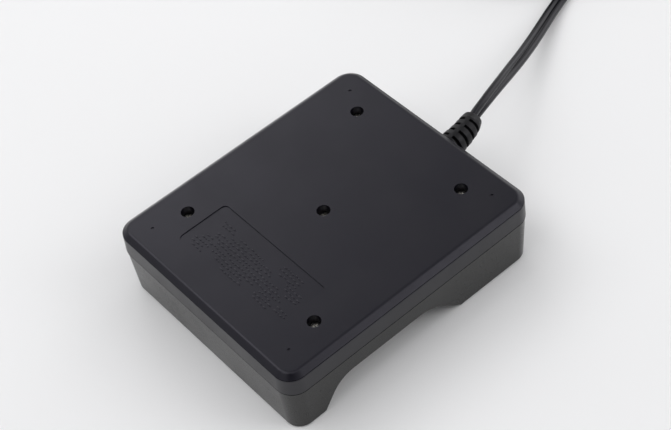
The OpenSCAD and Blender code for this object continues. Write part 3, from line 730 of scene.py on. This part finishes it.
@dataclass(frozen=True)
class SoftBox:
    """A square soft light that faces the charger.

    Attributes:
        name: The light's name.
        azimuth: Where it hangs, in degrees from +Y towards +X.
        elevation: Its height in degrees.
        watts: Its power.
        size: The length of its side.
        distance: How far off it is.
    """

    name: str
    azimuth: float
    elevation: float
    watts: float
    size: float = 6.0
    distance: float = 12.0

    def hang(self) -> None:
        """Adds the light, which the camera doesn't see, to the scene."""
        away = towards(self.azimuth, self.elevation)
        data = bpy.data.lights.new(self.name, "AREA")
        data.shape = "SQUARE"
        data.size = self.size
        data.energy = self.watts
        light = placed(bpy.data.objects.new(self.name, data))
        light.location = away * self.distance
        light.visible_camera = False
        light.rotation_euler = away.to_track_quat("Z", "Y").to_euler()


@dataclass
class Studio:
    """A pale floor, soft lights, and the camera where the photographer stood.

    Attributes:
        floor_size: The floor's side.
        floor_colour: The floor's colour.
        surround: The brightness of the even light from above.
        backdrop: The brightness of the pale wall round the horizon, which goes on below the floor's edge.
        wall_top: The heights, as sines, that the wall fades out between.
        flag: The azimuth and elevation of the black cloth that keeps the even light off the near corner.
        flag_reach: How far from its middle the cloth is all black, and how far off it has faded out, in degrees.
        boxes: The soft lights.
        eye: Where the camera is.
        azimuth: Where the camera looks, in degrees from +Y towards -X.
        elevation: How far above the floor the camera is, in degrees.
        roll: How far the camera leans, in degrees.
        lens_mm: The focal length in millimetres.
        frame_mm: The width in millimetres of the picture behind the lens.
    """

    floor_size: float = 5.0
    floor_colour: Colour = (0.86, 0.86, 0.87)
    surround: float = 0.5
    backdrop: float = 0.8
    wall_top: tuple[float, float] = (0.2, 0.45)
    flag: tuple[float, float] = (134.0, 50.0)
    flag_reach: tuple[float, float] = (12.0, 29.0)
    boxes: tuple[SoftBox, ...] = (
        SoftBox("back_low", 0, 23, 236, 9), SoftBox("right_high", 97, 69, 95), SoftBox("front_high", 184, 62, 210),
        SoftBox("left_middle", 240, 46, 165), SoftBox("left_high", 240, 60, 105), SoftBox("left_back", 262, 36, 45),
        SoftBox("right_back_low", 50, 30, 150, 4.5), SoftBox("right_back", 50, 48, 100, 4.5),
        SoftBox("window", 284, 45, 0.75, 0.45, 1.2), SoftBox("window_edge", 300, 35, 0.8, 0.45, 1.2))
    eye: Point = (0.4026, -0.2675, 0.5856)
    azimuth: float = 55.70
    elevation: float = 48.75
    roll: float = -9.02
    lens_mm: float = 89.40
    frame_mm: float = 36.0

    def build(self) -> None:
        """Makes the camera, the floor and the lights."""
        bpy.context.scene.view_settings.view_transform = "Standard"
        self.camera()
        self.floor()
        self.world()
        for box in self.boxes:
            box.hang()

    def camera(self) -> None:
        """Sets the camera at the photograph's angle and distance."""
        back = towards(180.0 - self.azimuth, self.elevation)
        level = Vector((0.0, 0.0, 1.0)).cross(back).normalized()
        upright = Matrix((level, back.cross(level), back)).transposed().to_4x4()
        lean = Matrix.Rotation(math.radians(self.roll), 4, "Z")
        data = bpy.data.cameras.new("photo_camera")
        data.sensor_width = self.frame_mm
        data.lens = self.lens_mm
        data.clip_start = 10 * MM
        camera = placed(bpy.data.objects.new("photo_camera", data))
        camera.matrix_world = Matrix.Translation(self.eye) @ upright @ lean
        bpy.context.scene.camera = camera

    def floor(self) -> None:
        """Lays the floor that the charger stands on, which can't be seen from below."""
        half = self.floor_size / 2
        mesh = bpy.data.meshes.new("floor")
        mesh.from_pydata([(-half, -half, 0), (half, -half, 0), (half, half, 0), (-half, half, 0)], [], [(0, 1, 2, 3)])
        material, graph, shader = shader_of("floor_card", {"Roughness": 0.9, "Specular IOR Level": 0.1})
        cloud = graph.place(drift_group(), Colour=self.floor_colour, Amount=0.01, Patch=400 * MM)
        graph.tree.links.new(cloud["Colour"], shader.inputs["Base Color"])
        below = graph.add("ShaderNodeNewGeometry").outputs["Backfacing"]
        clear = graph.add("ShaderNodeBsdfTransparent")
        either = graph.add("ShaderNodeMixShader", {0: below, 1: shader.outputs[0], 2: clear.outputs[0]})
        ending = next(n for n in graph.tree.nodes if n.type == "OUTPUT_MATERIAL")
        graph.tree.links.new(either.outputs[0], ending.inputs["Surface"])
        mesh.materials.append(material)
        placed(bpy.data.objects.new("floor", mesh))

    def world(self) -> None:
        """Sets the even light that comes from all round, and the pale background."""
        world = bpy.data.worlds.new("studio")
        world.use_nodes = True
        graph = Graph(world.node_tree)
        way = graph.add("ShaderNodeTexCoord").outputs["Generated"]
        height = graph.add("ShaderNodeSeparateXYZ", {0: way}).outputs["Z"]
        nearness = graph.add("ShaderNodeVectorMath", {0: way, 1: towards(*self.flag)},
                             operation="DOT_PRODUCT").outputs["Value"]
        dark, clear = (math.cos(math.radians(angle)) for angle in self.flag_reach)
        strength = graph.times(graph.ramp(height, *self.wall_top, self.backdrop, self.surround),
                               graph.ramp(nearness, clear, dark, 1.0, 0.0))
        light = graph.add("ShaderNodeBackground", {"Color": WHITE, "Strength": strength})
        graph.add("ShaderNodeOutputWorld", {"Surface": light.outputs[0]})
        bpy.context.scene.world = world


@dataclass
class CaseShell:
    """The base cover, the housing and the screws that hold them together.

    Attributes:
        edge: The rounding of the mouldings' edges.
        corner: The radius of the case's corners in plan.
        shade_strip: The thickness of a dark strip of painted shade.
        shade_strips: For each dark strip that paints the shade in a gap between the mouldings: its name, how far
            in from the case's box it lies, its lowest height and its highest.
        screw_edge: The rounding of the screws' edges.
        panel_depth: How deep the rating panel lies.
        bar_height: How tall a raised bar is.
        bar_relief: How far the bars stand proud of the panel.
        bar_lengths: The shortest and the longest bar, in millimetres.
        bar_gaps: The shortest and the longest gap between bars, in millimetres.
        bar_wander: How far a bar strays from its row, in millimetres.
        seed: What the random draws start from.
        rows: Where each row of bars lies along the case, and the starts and ends of its runs across the case,
            in millimetres.
    """

    edge: float = 0.22 * MM
    corner: float = 9.0 * MM
    shade_strip: float = 0.45 * MM
    # Painted shade: dark strips in the parting gap and in the groove under the bevel, where there is only shade.
    shade_strips: tuple[tuple[str, float, float, float], ...] = (
        ("parting_gap_shade", 0.06 * MM, 25.84 * MM, 26.28 * MM), ("groove_gap_shade", 0.42 * MM, 35.33 * MM, 35.68 * MM))
    screw_edge: float = 0.12 * MM
    panel_depth: float = 0.4 * MM
    bar_height: float = 0.85 * MM
    bar_relief: float = 0.16 * MM
    bar_lengths: tuple[float, float] = (0.9, 2.4)
    bar_gaps: tuple[float, float] = (0.35, 0.9)
    bar_wander: float = 0.3
    seed: int = 7
    rows: tuple[tuple[float, ...], ...] = (
        (-31.2, 12, 24), (-33.2, -27, -19, 11, 25), (-35.2, -26, -20, -14, 3, 13, 25), (-37.2, -17, 10, 20, 30),
        (-39.2, -24, 12, 21, 31), (-41.2, -24, 18, 24, 30), (-43.2, -27, -23, -20, 22), (-45.2, -28, -12, -9, 24),
        (-47.2, -30, -22, -18, 9, 14, 21, 26, 32), (-49.2, -30, -24, -14, 4, 13, 22, 26, 33),
        (-51.2, -28, -22, -8, 6, 14, 22))

    def build(self) -> list[Piece]:
        """Dresses the shells and screws, adds the dark strips of painted shade in the gaps and the bars, and returns
        them all.
        """
        return [dress_node("base_cover", Finish.COVER, self.edge),
                dress_node("housing", Finish.HOUSING, self.edge),
                dress_node("case_screws", Finish.STEEL, self.screw_edge),
                *(self.ring(*shade_strip) for shade_strip in self.shade_strips), self.panel_bars()]

    def ring(self, name: str, inset: float, low: float, high: float) -> Piece:
        """Lays one dark strip of painted shade round the case, in a gap between the mouldings.

        Args:
            name: The strip's name.
            inset: How far in from the case's box its face lies.
            low: Its lowest height.
            high: Its highest height.

        Returns:
            The seal.
        """
        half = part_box("base_cover")[1]
        outer, inner = self.corner - inset, self.corner - inset - self.shade_strip
        profile = ((outer, low), (outer, high), (inner, high), (inner, low))
        steps = 12
        points: list[Point] = []
        for quarter, (side_x, side_y) in enumerate(((1, 1), (-1, 1), (-1, -1), (1, -1))):
            x, y = side_x * (half.x - self.corner), side_y * (half.y - self.corner)
            for i in range(steps + 1):
                angle = math.radians(90 * (quarter + i / steps))
                points += [(x + r * math.cos(angle), y + r * math.sin(angle), z) for r, z in profile]
        count = len(points) // 4
        faces = [(4 * i + j, 4 * ((i + 1) % count) + j, 4 * ((i + 1) % count) + (j + 1) % 4, 4 * i + (j + 1) % 4)
                 for i in range(count) for j in range(4)]
        # Painted shade: a near-black ring put where the gap between the mouldings lies in shade.
        piece = mesh_piece(name, np.array(points), faces, Finish.GAP_SHADE)
        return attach(piece, CASE)

    def panel_bars(self) -> Piece:
        """Raises rows of plain bars on the rating panel, and returns them as one piece."""
        floor_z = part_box("base_cover")[1].z - self.panel_depth
        draw = random.Random(self.seed)
        points: list[Point] = []
        faces: Faces = []
        for y, *runs in self.rows:
            for x, end in zip(runs[::2], runs[1::2]):
                while x < end:
                    length = draw.uniform(*self.bar_lengths)
                    middle_y = y + draw.uniform(-self.bar_wander, self.bar_wander)
                    self.add_bar(points, faces, ((x + length / 2) * MM, middle_y * MM, floor_z), length * MM)
                    x += length + draw.uniform(*self.bar_gaps)
        bars = mesh_piece("panel_bars", np.array(points), faces, Finish.COVER)
        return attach(bars, CASE)

    def add_bar(self, points: list[Point], faces: Faces, centre: Point, length: float) -> None:
        """Adds one bar with round ends and a soft upper edge.

        Args:
            points: The points so far.
            faces: The faces so far.
            centre: The middle of the bar's foot.
            length: The bar's length.
        """
        radius = self.bar_height / 2
        sides = 16
        first = len(points)
        profile = ((0.0, -0.02 * MM), (0.05 * MM, 0.7 * self.bar_relief), (0.15 * MM, self.bar_relief))
        for inset, z in profile:
            for j in range(sides):
                angle = 2 * math.pi * (j + 0.5) / sides
                shift = math.copysign(length / 2 - radius, math.cos(angle))
                points.append((centre[0] + shift + (radius - inset) * math.cos(angle),
                               centre[1] + (radius - inset) * math.sin(angle), centre[2] + z))
        faces.extend(tuple(first + k for k in face) for face in loft_faces(len(profile), sides))


@dataclass
class Lead:
    """The strain relief, the flat twin lead with its coil, the tie and the plug.

    Attributes:
        width: The lead's width.
        thickness: The lead's thickness.
        route: Where the lead runs from the strain relief to the coil: x, y, z and the angle that its width
            stands up by.
        tail: Where it runs from the coil to the plug.
        coil_at: The middle of the coil.
        coil_radius: The radius between the coil's two rows of turns.
        turn_t: The distance between the two rows.
        layer_z: The height of the lower and the upper layer.
        wound: The angles in degrees that the coil starts and ends at, and the step between its knots.
        inward: The angles between which it goes to the inner row.
        climb: The angles between which it goes to the upper layer.
        outward: The angles between which it goes back to the outer row.
        path_step: The rough distance between the points that the lead is swept over.
        crease: The angle in degrees from which an edge of its section stays sharp.
        exit: Where the lead leaves the case; not used.
        fittings: What is on the lead: each node, its finish, the rounding of its edges, and the angle in degrees
            from which an edge is rounded.
    """

    width: float = 6.8 * MM
    thickness: float = 3.8 * MM
    route: tuple[tuple[float, ...], ...] = (
        (0.00105, 0.0879, 0.0263, 94), (-0.0019, 0.095, 0.0261, 96), (-0.0036, 0.1, 0.0257, 98),
        (-0.0066, 0.108, 0.0244, 104), (-0.0119, 0.121, 0.0212, 113), (-0.0176, 0.134, 0.0171, 130),
        (-0.0237, 0.148, 0.013, 148), (-0.0298, 0.161, 0.0093, 160), (-0.036, 0.174, 0.0062, 171),
        (-0.0416, 0.186, 0.0038, 178), (-0.0461, 0.197, 0.0023, 180), (-0.0502, 0.209, 0.0027, 160),
        (-0.0541, 0.221, 0.0037, 124), (-0.058, 0.234, 0.00445, 90))
    tail: tuple[tuple[float, ...], ...] = (
        (-0.1332, 0.222, 0.01135, 90), (-0.1333, 0.215, 0.0109, 76), (-0.1333, 0.208, 0.0097, 54),
        (-0.1331, 0.202, 0.0084, 30), (-0.1328, 0.197, 0.0075, 10), (-0.1326, 0.193, 0.007, 0),
        (-0.1325, 0.19, 0.0068, 0))
    coil_at: tuple[float, float] = (-0.095, 0.224)
    coil_radius: float = 0.036
    turn_t: float = 4.4 * MM
    layer_z: tuple[float, float] = (4.45 * MM, 11.35 * MM)
    wound: tuple[int, int, int] = (30, 1250, 15)
    inward: tuple[float, float] = (290, 380)
    climb: tuple[float, float] = (640, 735)
    outward: tuple[float, float] = (950, 1040)
    path_step: float = 2.4 * MM
    crease: float = 45.0
    exit: Point = (0.004, 0.0705, 0.0263)
    fittings: tuple[tuple[str, Finish, float, float], ...] = (
        ("strain_relief", Finish.RELIEF, 0.25 * MM, 30.0), ("lead_tie", Finish.TIE, 0.25 * MM, 30.0),
        ("plug_body", Finish.LEAD, 0.3 * MM, 50.0), ("plug_blades", Finish.BRASS, 0.15 * MM, 30.0))

    def build(self) -> list[Piece]:
        """Makes the lead, dresses what is on it, and returns them all."""
        fitted = [dress_node(name, finish, edge, angle=sharp) for name, finish, edge, sharp in self.fittings]
        return [self.lead(fitted), *fitted]

    def coil_knots(self) -> np.ndarray:
        """Winds the coil: the outer and inner turn of the lower layer, then the inner and outer turn of the upper.

        Returns:
            The coil's knots.
        """
        degrees = np.arange(*self.wound)
        inside = ease(degrees, *self.inward) - ease(degrees, *self.outward)
        radius = self.coil_radius + self.turn_t * (0.5 - inside)
        angle = np.radians(degrees)
        low, high = self.layer_z
        return np.stack([self.coil_at[0] + radius * np.cos(angle), self.coil_at[1] + radius * np.sin(angle),
                         low + (high - low) * ease(degrees, *self.climb), np.full(len(degrees), 90.0)], axis=1)

    def section(self) -> np.ndarray:
        """Draws the lead's section: two round cores side by side, with a valley between them.

        Returns:
            Rows of width and thickness coordinates.
        """
        radius = self.thickness / 2
        shift = self.width / 2 - radius
        reach = math.pi - math.acos(shift / radius)
        steps = 14
        angle = reach * (2 * np.arange(steps) / steps - 1)
        core = np.stack([shift + radius * np.cos(angle), radius * np.sin(angle)], axis=1)
        return np.vstack([core, -core])

    def lead(self, with_pieces: list[Piece]) -> Piece:
        """Args:
            with_pieces: The pieces on the lead; not used.

        Returns:
            The lead.
        """
        path = smooth_path(np.vstack([self.route, self.coil_knots(), self.tail]), self.path_step)
        section = self.section()
        faces = loft_faces(len(path), len(section))
        lead = mesh_piece("mains_lead_flat_twin", sweep(path, section), faces, Finish.LEAD)
        lead.data.set_sharp_from_angle(angle=math.radians(self.crease))
        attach(lead, CASE)
        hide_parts("mains_lead", "lead_coil", "lead_tail")
        return lead


@dataclass
class SlidingBay:
    """One battery bay: its sliding contact with the return spring, and its two contact strips.

    Attributes:
        number: The bay's number, from 1 to 4.
        spring_turns: The spring's turns.
        spring_radius: The radius of the spring's wire line.
        wire_radius: The radius of the wire.
        travel: How far the slider goes back; not used.
        slider_edge: The rounding of the slider's edges.
        strip_edge: The rounding of the strips' edges.
    """

    number: int
    spring_turns: int = 10
    spring_radius: float = 2.15 * MM
    wire_radius: float = 0.25 * MM
    travel: float = 37.0 * MM
    slider_edge: float = 0.25 * MM
    strip_edge: float = 0.06 * MM

    def name(self, part: str) -> str:
        """Returns the name of one of the bay's nodes."""
        return f"bay{self.number}_{part}"

    def build(self) -> list[Piece]:
        """Dresses the bay's nodes, winds its spring, and returns them all."""
        slider = dress_node(self.name("slider"), Finish.SLIDER, self.slider_edge)
        strips = [dress_node(self.name(part), Finish.NICKEL, self.strip_edge, segments=1)
                  for part in ("contact", "rail", "positive")]
        return [slider, *strips, self.spring()]

    def spring(self) -> Piece:
        """Winds and returns the return spring."""
        low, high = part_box(self.name("spring"))
        centre_x, centre_z = (low.x + high.x) / 2, (low.z + high.z) / 2
        start, end = low.y + self.wire_radius, high.y - self.wire_radius
        steps, sides = 28, 8
        turn = np.arange(self.spring_turns * steps + 1) / steps
        closed, closed_share = 1.0, 0.03
        share = np.interp(turn, [0, closed, self.spring_turns - closed, self.spring_turns],
                          [0.0, closed_share, 1.0 - closed_share, 1.0])
        angle = 2 * np.pi * turn
        out = np.stack([np.cos(angle), np.zeros_like(angle), np.sin(angle)], axis=1)
        line = (self.spring_radius * out + (centre_x, start, centre_z)
                + np.outer((end - start) * share, (0.0, 1.0, 0.0)))
        aside = np.cross(unit(np.gradient(line, axis=0)), out)
        around = 2 * np.pi * np.arange(sides) / sides
        rings = line[:, None] + self.wire_radius * (np.cos(around)[None, :, None] * out[:, None]
                                                    + np.sin(around)[None, :, None] * aside[:, None])
        name = self.name("return_spring")
        spring = mesh_piece(name, rings.reshape(-1, 3), loft_faces(len(turn), sides), Finish.SPRING)
        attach(spring, CASE)
        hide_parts(self.name("spring"))
        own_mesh(spring)
        return spring


@dataclass
class PowerBoard:
    """The circuit board with its parts, the indicator lamps and the lead's cores.

    Attributes:
        finishes: The finish of each node.
        edge: The rounding of the parts' edges.
    """

    finishes: dict[str, Finish] = field(default_factory=lambda: {
        "circuit_board": Finish.BOARD, "transformer_core": Finish.FERRITE, "transformer_winding": Finish.TAPE,
        "input_capacitor": Finish.SLEEVE, "output_capacitors": Finish.SLEEVE, "fuse": Finish.GLASS,
        "bridge_rectifier": Finish.RESIN, "switching_transistor": Finish.RESIN, "heat_sink": Finish.ALUMINIUM,
        "charge_controller": Finish.RESIN, "filter_choke": Finish.FERRITE, "lead_cores": Finish.CORES,
        **{f"lamp_{number}": Finish.LAMP for number in (1, 2, 3, 4)}})
    edge: float = 0.15 * MM

    def build(self) -> list[Piece]:
        """Dresses the board's nodes and returns them."""
        return [dress_node(name, finish, self.edge) for name, finish in self.finishes.items()]


def main() -> None:
    """Dresses the charger, piece by piece, and reports each one."""
    logging.basicConfig(level=logging.INFO, format="%(name)s: %(message)s")
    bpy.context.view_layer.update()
    Studio().build()
    assemblies = [CaseShell(), Lead(), *(SlidingBay(n) for n in (1, 2, 3, 4)), PowerBoard()]
    for assembly in assemblies:
        for piece in assembly.build():
            LOG.info("%s: %s", type(assembly).__name__, piece.name)


if __name__ == "__main__":
    main()
